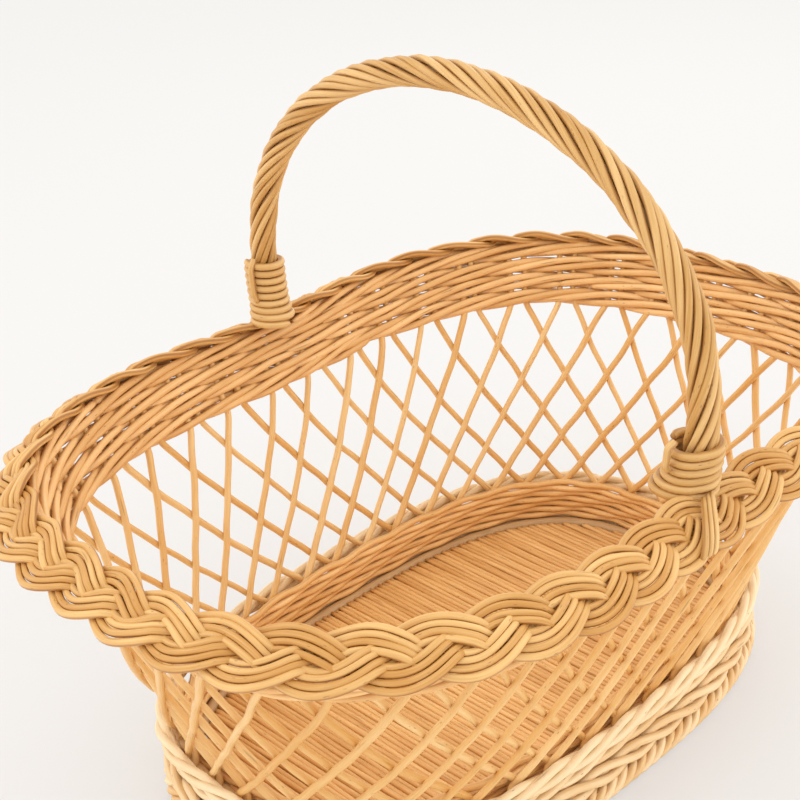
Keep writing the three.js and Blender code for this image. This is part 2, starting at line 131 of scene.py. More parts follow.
# Plaited border. The climb is the angle each side of a turn in which a strand changes level.
STRANDS = 3
WAVES = 15
PLAIT_START = 0.5
PLAIT_POINTS = 48
STRAND_RODS = 4
PLAIT_ROD = 2.95 * MM
PLAIT_ROD_SPREAD = 0.05
PLAIT_SWING = 8.1 * MM
PLAIT_SPREAD = 0.6 * MM
PLAIT_LIFT = 1.9 * MM
PLAIT_CLIMB = 72
PLAIT_TILT = 0.1
PLAIT_OUTSET = 5.6 * MM
PLAIT_HEIGHT = 4.55 * MM
PLAIT_SLOPE = math.radians(7)
STRAND_PACKING = 0.96
STRAND_CROWN = 0.12
OUTER_SPREAD = 0.12
INNER_SPREAD = 0.06
STRAND_SWAY = 0.16 * MM
STRAND_HEAVE = 0.14 * MM
PRESS_DEPTH = 3.5 * MM
PRESS_REACH = 15 * MM

# Foot. High and wide stretch the section of a twisted ring.
TWIST_POINTS = 26
TWIST_ROD_SPREAD = 0.03
TWIST_ROD_TAPER = 0.02
ROLL = {"rods": 4, "turns": 30, "rod": 4.1 * MM, "high": 0.9}
ROLL_INSET = 5.2 * MM
ROLL_RISE = 0.1 * MM
WALE = {"rods": 3, "turns": 13, "rod": 4.1 * MM, "high": 1.2, "wide": 0.7}
WALE_INSET = 2.6 * MM
WALE_RISE = 0.2 * MM
FOOT_WALE = {"rods": 3, "turns": 13, "rod": 4.4 * MM, "high": 1.45, "wide": 0.75}
FOOT_WALE_INSET = 3.4 * MM
FOOT_WALE_STEP = 2.6 * MM
FOOT_WALE_BELOW = 1 * MM
FOOT_WALE_ABOVE = 0.5 * MM
ROW_POINTS = 12
STROKE_UNITS = 1.5
ROWS_PER_REPEAT = 3
ROW_DRIFT = 0.1 * MM
ROW_OVERLAP = 1.02
FOOT_ROWS = {"out": -1.6 * MM, "rod": 3.6 * MM, "swing": 0.3 * MM}
UPSETT_ROWS = {"out": -5.4 * MM, "rod": 3.4 * MM, "swing": 1.0 * MM}
UPSETT_ABOVE = 0.4 * MM

# Base
HOOP_RADIUS = 3.3 * MM
HOOP_POINTS = 8
FLOOR_RODS = 99
FLOOR_SWING = 0.35 * MM
FLOOR_POINTS = 40
FLOOR_DRIFT = 0.2 * MM
FLOOR_ROD_FIT = 1.02
FLOOR_ROD_SPREAD = 0.05
FLOOR_ROD_FLAT = 1.22
STICK_POINTS = 30
STICK_DRIFT = 0.3 * MM
STICK_Y = [(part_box(f"base_stick_{k}")[0][1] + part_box(f"base_stick_{k}")[1][1]) / 2
           for k in (1, 2, 3)]

# Handle
HANDLE_TOP = 320.5 * MM
LEG_SPLAY = 21 * MM
LEG_HEIGHT = 97 * MM
TOP_HALF_WIDTH = 70 * MM
FOOT_SHIFT = -2 * MM
BOW_RADIUS = 3.5 * MM
BOW_FIT = 0.98
BOW_INSIDE = 9.05 * MM
BOW_POINTS = 90
TAIL_POINTS = 6
TAIL_LOW = 1 * MM
TAIL_HIGH = 0.7
ARCH_POINTS = 2001
BORDER_THICKNESS = 8.75 * MM
ROPE_GROUPS = 3
ROPE_RODS = 9
ROPE_ROD = 3.6 * MM
ROPE_ROD_FIT = 0.97
ROPE_ROD_SPREAD = 0.04
ROPE_LAY = 100 * MM
ROPE_POINTS = 240
ROPE_SINK = 0.1 * MM
ROPE_SHIFT = 0.05
ROPE_DRIFT_ROUND = 0.03
ROPE_DRIFT_OUT = 0.2 * MM
FAR_UNIT = UNITS * 0.25

# Lashings. The lowest turns are wider; on the inside they rise, on the outside they sag.
LASH_ROD = 3.8 * MM
LASH_PITCH = 1.05
LASH_POINTS = 30
LASH_SINK = 0.4 * MM
LASH_FLARE = 1.4 * MM
LASH_LOW_TURNS = 3
LASH_LOW_BULGE = 0.7
LASH_RISE = 1.5
LASH_SAG = 3.0
LASH_SAG_TURNS = 1.2
LEG_LINE_LOW = -12 * MM
LEG_LINE_POINTS = (30, 400)

# Upright rod beside a lashing: height above its first and last turn, and place, in lashing rods
UPRIGHT_POINTS = 20
UPRIGHT_ENDS = (3.6, 0.9)
UPRIGHT_OUTSET = 0.85
UPRIGHT_TOP_TUCK = 0.9
UPRIGHT_TOP = (0.8, 1)
UPRIGHT_LOW_TUCK = 0.5
UPRIGHT_LOW = 0.25
UPRIGHT_BULGE = 0.55
UPRIGHT_RADIUS = 0.42
UPRIGHT_WAY = (-0.95, 0.3)

# Cut rod ends. The corners of their curve are (outward, upward) from the plait's middle, in mm.
ROD_END_UNIT = 29.0
ROD_END_SLANT = 0.8
ROD_END_POINTS = 16
ROD_END_RADIUS = 1.3 * MM
ROD_END_CORNERS = ((-4, 4.9), (7, 5.4), (13.6, 4.8), (13.8, -1.2))
ROD_END_UNEVEN = 0.5
ROD_END_SPACING = 3.0
ROD_END_FAN = 0.5

# Grain of peeled willow: how often each pattern repeats across a rod and along it
STREAK_GRAIN = (2.6, 60)
FINE_GRAIN = (7, 160)
DRIFT_GRAIN = (0.2, 14)
SPECK_GRAIN = (1.5, 210)
SPECK_PATCHES = (0.8, 70)
SCAR_GRAIN = (0.5, 21)
BLOTCH_GRAIN = 28
GRAIN_PER_TINT = 7.3

# Strength of each pattern, and tones that all willow shares
STREAKS = 0.5
BLOTCHES = 0.12
DRIFT = 0.2
TINT_SPREAD = 0.3
SPECKS = 0.6
SCARS = 0.7
SCAR_TONE = (0.16, 0.075, 0.025, 1)
# Painted shade between rods lying side by side: a rod's sides darken towards this tone past this
# edge
PAINTED_ROD_SHADE_TONE = (0.52, 0.34, 0.18, 1)
PAINTED_ROD_SHADE_EDGE = 0.82
ROUGHNESS = (0.40, 0.58)
BUMP_STRENGTH = 0.25
BUMP_DEPTH = 0.4 * MM
COAT = 0.12
COAT_ROUGHNESS = 0.35

# Camera found from the photograph: frame 800 by 800, lengths in mm
CAMERA_PLACE = (-471.0, -459.8, 500.4)
CAMERA_AZIMUTH = -43.12
CAMERA_ELEVATION = 26.56
CAMERA_ROLL = -3.49
FOCAL_PIXELS = 1579.2
FRAME_PIXELS = 800
AXIS_OFFSET = (-1.6, -6.8)
SENSOR_WIDTH = 36
CLIP_START = 10 * MM

# Studio, in metres and watts. The floor glows a little for the camera only, and looks paler to
# light that bounces from it.
FLOOR_SIZE = 6
FLOOR_DROP = -0.2 * MM
FLOOR_SEEN = (0.325, 0.32, 0.315)
FLOOR_GLOW = (0.465, 0.46, 0.453)
FLOOR_LIT = (0.90, 0.89, 0.88)
FLOOR_ROUGHNESS = 0.9
SKY_LIGHT = (1.0, 0.985, 0.965, 1)
SKY_LIGHT_STRENGTH = 1.28
SKY_SEEN = (0.90, 0.89, 0.875, 1)
SKY_SEEN_STRENGTH = 1.0
WARM_WHITE = (1.0, 0.98, 0.95)
WHITE = (1, 1, 1)
LAMPS = (("key", (-0.8, 0.6, 1.2), 0.9, 3.0, WARM_WHITE),
         ("rim", (1.0, 0.6, 0.9), 0.8, 1.5, WHITE),
         ("side", (1.0, -0.9, 0.5), 0.9, 3.0, WARM_WHITE))

rng = np.random.default_rng(7)


# Wall surface

def unit_oval(phi):
    c, s = np.cos(phi), np.sin(phi)
    r = (np.abs(c) ** OVAL_POWER + np.abs(s) ** OVAL_POWER) ** (-1 / OVAL_POWER)
    return r * c, r * s


def run_along(line):
    """Length of a line from its start to each of its points."""
    return np.concatenate([[0], np.cumsum(np.linalg.norm(np.diff(line, axis=0), axis=1))])


def equal_lengths():
    """Angle against share of the oval's length, measured half way up the wall."""
    phi = np.linspace(0, 2 * np.pi, OVAL_POINTS)
    cx, cy = unit_oval(phi)
    x = cx * (FOOT_HALF_LENGTH + BORDER_HALF_LENGTH) / 2
    y = cy * (FOOT_HALF_WIDTH + BORDER_HALF_WIDTH) / 2
    run = run_along(np.stack([x, y], -1))
    return phi, run / run[-1]


PHI, SHARE = equal_lengths()


def wall_point(unit, rise):
    unit, rise = np.broadcast_arrays(np.asarray(unit, float), np.asarray(rise, float))
    turns = unit / UNITS
    cx, cy = unit_oval(np.interp(turns - np.floor(turns), SHARE, PHI))
    climb = np.maximum(rise, 0)
    flare = STRAIGHT_FLARE * climb + (1 - STRAIGHT_FLARE) * climb ** 2
    x = cx * (FOOT_HALF_LENGTH + (BORDER_HALF_LENGTH - FOOT_HALF_LENGTH) * flare)
    y = cy * (FOOT_HALF_WIDTH + (BORDER_HALF_WIDTH - FOOT_HALF_WIDTH) * flare)
    y = y * (1 - PINCH * flare * np.exp(-((x / PINCH_REACH) ** 2)))
    dip = DIP * climb ** 2 * np.exp(-((x / DIP_REACH) ** 2))
    z = FOOT_TOP + (WALL_TOP - FOOT_TOP) * rise - dip
    return np.stack([x, y, z], -1)


def unit_vector(v):
    return v / np.linalg.norm(v, axis=-1, keepdims=True)


def wall_frame(unit, rise):
    """Point and the directions along, up and out of the wall."""
    rise = np.asarray(rise)
    point = wall_point(unit, rise)
    along = unit_vector(wall_point(unit + UNIT_STEP, rise) - wall_point(unit - UNIT_STEP, rise))
    up = wall_point(unit, rise + RISE_STEP) - wall_point(unit, rise - RISE_STEP)
    out = unit_vector(np.cross(along, up))
    return point, along, np.cross(out, along), out


def on_wall(unit, rise, out=0.0, up=0.0):
    point, _, up_way, out_way = wall_frame(unit, rise)
    return point + out_way * np.asarray(out)[..., None] + up_way * np.asarray(up)[..., None]


def on_foot(unit, z, out):
    """The foot keeps the oval of the wall's lower edge, with out level."""
    unit = np.asarray(unit, float)
    point, _, _, out_way = wall_frame(unit, 0.0 * unit)
    level = unit_vector(out_way * np.array([1, 1, 0]))
    spot = point + level * np.asarray(out)[..., None]
    spot[..., 2] = z
    return spot, level


def rise_of(z):
    return (z - FOOT_TOP) / (WALL_TOP - FOOT_TOP)


def smooth_step(x, low, high):
    t = np.clip((x - low) / (high - low), 0, 1)
    return t * t * (3 - 2 * t)


def curve(corners, t):
    """Points of the smooth curve that four corners pull from the first to the last."""
    a, b, c, d = corners
    t = t[..., None]
    return (1 - t) ** 3 * a + 3 * (1 - t) ** 2 * t * b + 3 * (1 - t) * t ** 2 * c + t ** 3 * d


def points_at(line, run, distance):
    """Points of a line at distances along it."""
    return np.stack([np.interp(distance, run, line[:, i]) for i in range(3)], -1)


def wander(count, size, waves=5):
    """Slow uneven drift, as a willow rod has."""
    t = np.linspace(0, 1, count)
    total = np.zeros(count)
    for k in range(1, waves + 1):
        total += rng.normal() / k * np.sin(2 * np.pi * (k * t + rng.random()))
    return size * total


def wander_closed(count, size):
    """Uneven drift that meets itself at the end of a ring."""
    t = np.arange(count) / count
    total = np.zeros(count)
    for k in RING_WAVES:
        total += rng.normal() * np.sin(2 * np.pi * (k * t + rng.random()))
    return size * total * RING_WAVE_SHARE


# Rods into meshes

class Bundle:
    """Gathers willow rods and makes one object of them."""

    def __init__(self):
        self.points = []
        self.quads = []
        self.uvs = []
        self.tints = []
        self.caps = []
        self.count = 0

    def rod(self, path, outs, radius, sides=8, flat=1.0, closed=False):
        """Sweeps a round section along path. flat scales it in the out direction."""
        path = np.asarray(path, float)
        count = len(path)
        radius = np.broadcast_to(np.asarray(radius, float), (count,)).copy()
        if closed:
            ahead = np.roll(path, -1, 0) - path
            tangent = unit_vector(ahead) + unit_vector(np.roll(ahead, 1, 0))
        else:
            tangent = np.gradient(path, axis=0)
            radius[[0, -1]] *= END_SHRINK
        tangent = unit_vector(tangent)
        outs = np.broadcast_to(np.asarray(outs, float), path.shape)
        lift = unit_vector(outs - tangent * np.sum(outs * tangent, -1, keepdims=True))
        side = np.cross(lift, tangent)
        turn = 2 * np.pi * np.arange(sides) / sides
        ring = (side[:, None] * np.cos(turn)[None, :, None]
                + lift[:, None] * (flat * np.sin(turn))[None, :, None])
        self.points.append((path[:, None] + ring * radius[:, None, None]).reshape(-1, 3))

        spans = count if closed else count - 1
        i = np.arange(spans)[:, None]
        j = np.arange(sides)[None, :]
        next_i, next_j = (i + 1) % count, (j + 1) % sides
        corners = (i * sides + j, i * sides + next_j, next_i * sides + next_j, next_i * sides + j)
        self.quads.append(np.stack(corners, -1).reshape(-1, 4) + self.count)

        run = run_along(path) + rng.random() * GRAIN_RANGE
        run_next = np.append(run[1:], run[-1] + GRAIN_SEAM)
        here, ahead = run[:spans, None], run_next[:spans, None]
        u, u_next = j / sides, (j + 1) / sides
        uv = [np.stack(np.broadcast_arrays(*pair), -1)
              for pair in ((u, here), (u_next, here), (u_next, ahead), (u, ahead))]
        self.uvs.append(np.stack(uv, 2).reshape(-1, 2))
        self.tints.append(np.full(count * sides, rng.random()))
        if not closed:
            self.caps.append(self.count + np.arange(sides)[::-1])
            self.caps.append(self.count + (count - 1) * sides + np.arange(sides))
        self.count += count * sides

    def make(self, name, material, slot, *nodes):
        points = np.concatenate(self.points)
        quads = np.concatenate(self.quads)
        loops = [quads.reshape(-1)] + self.caps
        cap_sizes = [len(cap) for cap in self.caps]
        sizes = np.concatenate([np.full(len(quads), 4), cap_sizes]).astype(int)
        starts = np.concatenate([[0], np.cumsum(sizes)[:-1]])
        uv = np.concatenate(self.uvs + [np.zeros((sum(cap_sizes), 2))])
        mesh = bpy.data.meshes.new(name)
        mesh.vertices.add(len(points))
        mesh.vertices.foreach_set("co", points.reshape(-1))
        mesh.loops.add(int(sizes.sum()))
        mesh.loops.foreach_set("vertex_index", np.concatenate(loops).astype(np.int32))
        mesh.polygons.add(len(sizes))
        mesh.polygons.foreach_set("loop_start", starts.astype(np.int32))
        mesh.polygons.foreach_set("use_smooth", np.ones(len(sizes), bool))
        layer = mesh.uv_layers.new(name="along")
        layer.data.foreach_set("uv", uv.reshape(-1))
        tint = mesh.attributes.new("tint", "FLOAT", "POINT")
        tint.data.foreach_set("value", np.concatenate(self.tints))
        mesh.update()
        mesh.validate()
        piece = bpy.data.objects.new(name, mesh)
        bpy.context.collection.objects.link(piece)
        mesh.materials.append(material)
        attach(piece, "root")
        if nodes:
            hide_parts(*nodes)
        return piece


# Willow finish

def feed(tree, sockets, values):
    """Gives each socket its number or colour, or links it to another node's output."""
    for socket, value in zip(sockets, values):
        if isinstance(value, (int, float, tuple)):
            socket.default_value = value
        else:
            tree.links.new(value, socket)


def math_node(tree, operation, *values):
    node = tree.nodes.new("ShaderNodeMath")
    node.operation = operation
    feed(tree, node.inputs, values)
    return node.outputs[0]


def add_up(tree, first, *others):
    for value in others:
        first = math_node(tree, "ADD", first, value)
    return first


def map_range(tree, value, low, high, out_low=0.0, out_high=1.0):
    node = tree.nodes.new("ShaderNodeMapRange")
    names = ("Value", "From Min", "From Max", "To Min", "To Max")
    feed(tree, [node.inputs[name] for name in names], (value, low, high, out_low, out_high))
    return node.outputs[0]


def combine(tree, x, y, z):
    node = tree.nodes.new("ShaderNodeCombineXYZ")
    feed(tree, node.inputs, (x, y, z))
    return node.outputs[0]


def noise(tree, vector, scale, detail=2.0, roughness=0.5):
    node = tree.nodes.new("ShaderNodeTexNoise")
    names = ("Vector", "Scale", "Detail", "Roughness")
    feed(tree, [node.inputs[name] for name in names], (vector, scale, detail, roughness))
    return node.outputs[0]


def cell_distance(tree, vector):
    """Distance from the middle of the nearest of many uneven cells."""
    node = tree.nodes.new("ShaderNodeTexVoronoi")
    feed(tree, (node.inputs["Vector"], node.inputs["Scale"]), (vector, 1.0))
    return node.outputs["Distance"]


def mix_colour(tree, factor, a, b, blend="MIX"):
    node = tree.nodes.new("ShaderNodeMix")
    node.data_type = "RGBA"
    node.blend_type = blend
    feed(tree, (node.inputs["Factor"], node.inputs[6], node.inputs[7]), (factor, a, b))
    return node.outputs[2]


def peeled_willow_group():
    """Streaks along the rod, slow blotches, small specks and leaf scars of peeled willow; painted
    shade between rods.
    """
    tree = bpy.data.node_groups.new("peeled willow", "ShaderNodeTree")
    for way, names in (("INPUT", ("Pale", "Deep", "Depth", "Painted rod shade")),
                       ("OUTPUT", ("Color", "Roughness", "Height"))):
        for name in names:
            kind = "Color" if name in ("Pale", "Deep", "Color") else "Float"
            tree.interface.new_socket(name, in_out=way, socket_type="NodeSocket" + kind)
    given = tree.nodes.new("NodeGroupInput")
    result = tree.nodes.new("NodeGroupOutput")

    uv = tree.nodes.new("ShaderNodeUVMap")
    uv.uv_map = "along"
    parts = tree.nodes.new("ShaderNodeSeparateXYZ")
    tree.links.new(uv.outputs[0], parts.inputs[0])
    attribute = tree.nodes.new("ShaderNodeAttribute")
    attribute.attribute_name = "tint"
    tint = attribute.outputs["Fac"]
    round_way = math_node(tree, "MULTIPLY", parts.outputs[0], 2 * math.pi)
    across = math_node(tree, "COSINE", round_way)
    beside = math_node(tree, "SINE", round_way)
    along = add_up(tree, parts.outputs[1], math_node(tree, "MULTIPLY", tint, GRAIN_PER_TINT))

    def rod_vector(width, length):
        return combine(tree, math_node(tree, "MULTIPLY", across, width),
                       math_node(tree, "MULTIPLY", beside, width),
                       math_node(tree, "MULTIPLY", along, length))

    streaks = noise(tree, rod_vector(*STREAK_GRAIN), 1.0, 4.0, 0.62)
    fine = noise(tree, rod_vector(*FINE_GRAIN), 1.0, 2.0, 0.6)
    place = tree.nodes.new("ShaderNodeTexCoord")
    blotch = noise(tree, place.outputs["Object"], BLOTCH_GRAIN)
    drift = noise(tree, rod_vector(*DRIFT_GRAIN), 1.0)

    shade = add_up(tree, math_node(tree, "MULTIPLY", map_range(tree, streaks, 0.3, 0.7), STREAKS),
                   map_range(tree, blotch, 0.35, 0.65, -BLOTCHES, BLOTCHES),
                   map_range(tree, drift, 0.3, 0.7, -DRIFT, DRIFT),
                   map_range(tree, tint, 0, 1, -TINT_SPREAD, TINT_SPREAD), given.outputs["Depth"])
    limited = map_range(tree, shade, 0.0, 1.0)
    colour = mix_colour(tree, limited, given.outputs["Pale"], given.outputs["Deep"])

    dots = map_range(tree, cell_distance(tree, rod_vector(*SPECK_GRAIN)), 0.2, 0.12)
    patches = map_range(tree, noise(tree, rod_vector(*SPECK_PATCHES), 1.0, 1.0), 0.56, 0.64)
    dots = math_node(tree, "MULTIPLY", dots, patches)
    marks = map_range(tree, cell_distance(tree, rod_vector(*SCAR_GRAIN)), 0.13, 0.06)
    marks = math_node(tree, "MULTIPLY", marks, SCARS)
    spots = math_node(tree, "MULTIPLY", math_node(tree, "MAXIMUM", dots, marks), SPECKS)
    colour = mix_colour(tree, spots, colour, SCAR_TONE)

    # Painted shade: each rod's sides, where neighbours lie against it, are darkened as if shaded
    painted_side_shade = map_range(tree, math_node(tree, "ABSOLUTE", across), PAINTED_ROD_SHADE_EDGE, 1.0)
    painted_side_shade = math_node(tree, "MULTIPLY", painted_side_shade, given.outputs["Painted rod shade"])
    colour = mix_colour(tree, painted_side_shade, colour, PAINTED_ROD_SHADE_TONE, "MULTIPLY")

    grain = add_up(tree, math_node(tree, "MULTIPLY", streaks, 0.6),
                   math_node(tree, "MULTIPLY", fine, 0.4))
    height = math_node(tree, "SUBTRACT", grain, math_node(tree, "MULTIPLY", spots, 0.6))
    tree.links.new(colour, result.inputs["Color"])
    tree.links.new(map_range(tree, fine, 0.3, 0.7, *ROUGHNESS), result.inputs["Roughness"])
    tree.links.new(height, result.inputs["Height"])
    return tree


PEELED_WILLOW = peeled_willow_group()


def willow(name, pale, deep, depth, painted_rod_shade=0.0):
    """Willow between two tones. Depth leans it to the deep one; the last number paints shade on its
    sides.
    """
    material = bpy.data.materials.new(name)
    material.use_nodes = True
    tree = material.node_tree
    shader = tree.nodes["Principled BSDF"]
    group = tree.nodes.new("ShaderNodeGroup")
    group.node_tree = PEELED_WILLOW
    group.inputs["Pale"].default_value = (*pale, 1)
    group.inputs["Deep"].default_value = (*deep, 1)
    group.inputs["Depth"].default_value = depth
    group.inputs["Painted rod shade"].default_value = painted_rod_shade
    relief = tree.nodes.new("ShaderNodeBump")
    relief.inputs["Strength"].default_value = BUMP_STRENGTH
    relief.inputs["Distance"].default_value = BUMP_DEPTH
    tree.links.new(group.outputs["Height"], relief.inputs["Height"])
    tree.links.new(relief.outputs[0], shader.inputs["Normal"])
    tree.links.new(group.outputs["Color"], shader.inputs["Base Color"])
    tree.links.new(group.outputs["Roughness"], shader.inputs["Roughness"])
    shader.inputs["Coat Weight"].default_value = COAT
    shader.inputs["Coat Roughness"].default_value = COAT_ROUGHNESS
    return material


# The last number of each willow is the strength of the painted shade on its sides; lattice and thick
# rods have none
plait_willow = willow("willow of the border", (0.82, 0.52, 0.20), (0.57, 0.27, 0.055), 0.34, 0.85)
rope_willow = willow("willow of the handle", (0.79, 0.52, 0.215), (0.56, 0.29, 0.07), 0.31, 0.65)
# Lattice, upper band, foot, floor and inner wale tones are paler than the border's: partly the
# willow's own colour, partly painted light standing for the bounced light that brightens the inside
# and the foot
lattice_willow = willow("willow of the lattice", (0.85, 0.57, 0.25), (0.72, 0.38, 0.10), 0.30)
band_willow = willow("willow of the upper band", (0.92, 0.58, 0.25), (0.70, 0.37, 0.115), 0.32, 0.45)
foot_willow = willow("willow of the foot", (0.92, 0.71, 0.43), (0.76, 0.48, 0.20), 0.26, 0.25)
pale_willow = willow("pale willow of the foot", (0.94, 0.78, 0.52), (0.84, 0.62, 0.34), 0.20, 0.15)
floor_willow = willow("willow of the floor", (0.90, 0.55, 0.21), (0.66, 0.33, 0.09), 0.36, 0.35)
inside_willow = willow("willow inside the foot", (0.94, 0.60, 0.25), (0.74, 0.40, 0.12),
                       0.32, 0.35)
frame_willow = willow("thick willow rods", (0.66, 0.42, 0.19), (0.46, 0.25, 0.09), 0.40)


# Lattice

def leg(unit, lean):
    """One leg of a folded side rod, from its fold up into the band."""
    rise = np.linspace(FOLD_RISE, STAKE_TOP, LEG_POINTS)
    climb = rise / rise_of(LATTICE_TOP)
    past = np.maximum(climb - LEAN_END, 0)
    reach = climb - past + LEAN_EASE * (1 - np.exp(-past / LEAN_EASE))
    across = LEG_START + LEG_TRAVEL * reach + LEG_BEND * reach * (1 - reach)
    # It stands a little steeper where it crosses the other layer, half a unit apart
    pace = 2 * np.pi * LEG_PAUSES
    across = across - LEG_PAUSE * np.sin(pace * across) / pace
    across = across + wander(LEG_POINTS, LEG_DRIFT)
    across = across * smooth_step(rise, FOLD_RISE, FOLD_TOP)
    layer = smooth_step(rise, FOLD_RISE, LAYERS_APART) * (1 - smooth_step(climb, *LAYERS_MEET))
    place = unit + lean * across
    _, _, _, out = wall_frame(place, rise)
    return on_wall(place, rise, lean * layer * LAYER_OFFSET), out


def side_rods():
    for k in range(UNITS):
        bundle = Bundle()
        unit = k + rng.normal() * ROD_SHIFT
        outer, outer_out = leg(unit, 1)
        inner, inner_out = leg(unit + rng.normal() * LEG_SHIFT, -1)
        path = np.concatenate([outer[::-1], inner])
        outs = np.concatenate([outer_out[::-1], inner_out])
        size = SIDE_ROD / 2 * (1 + SIDE_ROD_SPREAD * rng.normal())
        bundle.rod(path, outs, size * (1 + wander(len(path), SIDE_ROD_TAPER)))
        bundle.make(f"lattice_rod_{k + 1:02d}", lattice_willow, "straw", f"side_rod_{k + 1:02d}")


# Upper band

def weaver_rise(along, row_rise):
    """Height of the weaver: each turn is level until it steps up to the next row."""
    turn = np.floor(along / UNITS)
    late = np.clip((along - turn * UNITS - (UNITS - STEP_UNITS)) / STEP_UNITS, 0, 1)
    late = np.where(turn >= BAND_ROWS - 1, 0, late)
    return rise_of(LATTICE_TOP) + BAND_START_RISE + row_rise * (turn + late + 0.5)


def upper_band():
    """Each row is waled: its rods pass inside two pairs of side rods and outside the next two."""
    bundle = Bundle()
    row_rise = (BAND_TOP_RISE - BAND_START_RISE - rise_of(LATTICE_TOP)) / BAND_ROWS
    first = -BAND_LEAD * STEP_UNITS
    last = UNITS * BAND_ROWS - BAND_TAIL * STEP_UNITS
    along = np.arange(int((last - first) * BAND_POINTS)) / BAND_POINTS + first
    count = len(along)
    rise = weaver_rise(np.maximum(along, 0), row_rise)
    _, _, _, out = wall_frame(BAND_START_UNIT + along, rise)
    for k in range(WEAVER_RODS):
        angle = 2 * np.pi * (along + k + 0.5) / WEAVER_RODS
        turned = np.cos(angle)
        swing = BAND_SWING * np.sign(turned) * np.abs(turned) ** BAND_FLATNESS
        swing = swing + wander(count, BAND_DRIFT_OUT, BAND_DRIFT_WAVES)
        slant = BAND_SLANT * np.sin(angle) + wander(count, BAND_DRIFT_UP, BAND_DRIFT_WAVES)
        path = on_wall(BAND_START_UNIT + along, rise, swing, slant)
        start = 0
        while start < count - BAND_POINTS:
            uneven = int(rng.integers(-WEAVER_UNEVEN, WEAVER_UNEVEN))
            stop = min(count, start + WEAVER_LENGTH + uneven)
            if count - stop < WEAVER_SHORTEST:
                stop = count
            size = WEAVER_ROD / 2 * (1 + WEAVER_ROD_SPREAD * rng.normal())
            bundle.rod(path[start:stop], out[start:stop], size, flat=WEAVER_FLAT)
            start = stop - 1
    bundle.make("woven_band", band_willow, "honey", "upper_band")


# Plaited border

def plait_line(strand):
    """Middle of one strand: it climbs from under to over round each turn and dives between them."""
    step = np.arange(WAVES * PLAIT_POINTS) / PLAIT_POINTS
    phase = 2 * np.pi * (step + strand / STRANDS)
    unit = PLAIT_START + step * UNITS / WAVES
    from_turn = np.degrees(phase % np.pi - np.pi / 2)
    climb = np.clip(from_turn / PLAIT_CLIMB, -1, 1)
    dive = np.sin(np.clip((90 - np.abs(from_turn)) / (90 - PLAIT_CLIMB), 0, 1) * np.pi / 2)
    across = PLAIT_SWING * np.sin(phase) + PLAIT_SPREAD * np.clip(np.sin(phase), 0, 1) ** 2
    lift = PLAIT_LIFT * climb * (1.5 - 0.5 * climb ** 2) * dive
    tilt = -PLAIT_TILT * np.cos(3 * phase) + PLAIT_SLOPE
    _, _, up, out = wall_frame(unit, 1.0)
    face = up * np.cos(tilt)[:, None] + out * np.sin(tilt)[:, None]
    outward = PLAIT_OUTSET + across * math.cos(PLAIT_SLOPE) + lift * math.sin(PLAIT_SLOPE)
    upward = PLAIT_HEIGHT - across * math.sin(PLAIT_SLOPE) + lift * math.cos(PLAIT_SLOPE)
    line = on_wall(unit, 1.0, outward, upward)
    # Under the handle's near leg the border is pressed down
    pressed = np.exp(-((line[:, 0] / PRESS_REACH) ** 2)) * (line[:, 1] < 0)
    line[:, 2] -= PRESS_DEPTH * pressed
    return line, face, phase


def plaited_border():
    for strand in range(STRANDS):
        bundle = Bundle()
        path, face, phase = plait_line(strand)
        count = len(path)
        ahead = unit_vector(np.roll(path, -1, 0) - np.roll(path, 1, 0))
        lift = unit_vector(face - ahead * np.sum(face * ahead, -1, keepdims=True))
        side = np.cross(lift, ahead)
        outer, inner = np.clip(np.sin(phase), 0, 1), np.clip(-np.sin(phase), 0, 1)
        spread = 1 + OUTER_SPREAD * outer ** 2 + INNER_SPREAD * inner ** 2
        for k in range(STRAND_RODS):
            place = (k - (STRAND_RODS - 1) / 2) * PLAIT_ROD * STRAND_PACKING
            sway = place * spread + wander_closed(count, STRAND_SWAY)
            heave = -abs(place) * STRAND_CROWN + wander_closed(count, STRAND_HEAVE)
            line = path + side * sway[:, None] + lift * heave[:, None]
            size = PLAIT_ROD / 2 * (1 + PLAIT_ROD_SPREAD * rng.normal())
            bundle.rod(line, lift, size, sides=10, closed=True)
        bundle.make(f"plait_strand_{strand + 1}", plait_willow, "straw",
                    f"border_strand_{strand + 1}")


# Foot

def twisted_ring(bundle, z, out, rods, turns, rod, high=1.0, wide=1.0, hand=1):
    """Rods laid round one another along the oval of the foot."""
    count = turns * TWIST_POINTS
    share = np.arange(count) / count
    reach = rod * 0.5 / math.sin(math.pi / rods)
    for k in range(rods):
        angle = hand * 2 * np.pi * (turns * share + k / rods)
        level = out + wide * reach * np.cos(angle)
        height = z + high * reach * np.sin(angle)
        spot, way = on_foot(UNITS * share, height, level)
        size = rod / 2 * (1 + TWIST_ROD_SPREAD * rng.normal())
        bundle.rod(spot, way, size * (1 + wander_closed(count, TWIST_ROD_TAPER)), closed=True)


def stacked_rows(bundle, low, high, out, rod, swing):
    """Rows of rods that bulge out once for each stroke, each row a step on."""
    count = UNITS * ROW_POINTS
    unit = np.arange(count) / ROW_POINTS
    strokes = round(UNITS / STROKE_UNITS)
    for row in range(int(round((high - low) / rod))):
        wave = np.cos(2 * np.pi * (strokes * unit / UNITS + row / ROWS_PER_REPEAT))
        reach = out + swing * wave + wander_closed(count, ROW_DRIFT)
        spot, way = on_foot(unit, low + rod * (row + 0.5), reach)
        bundle.rod(spot, way, rod / 2 * ROW_OVERLAP, closed=True)


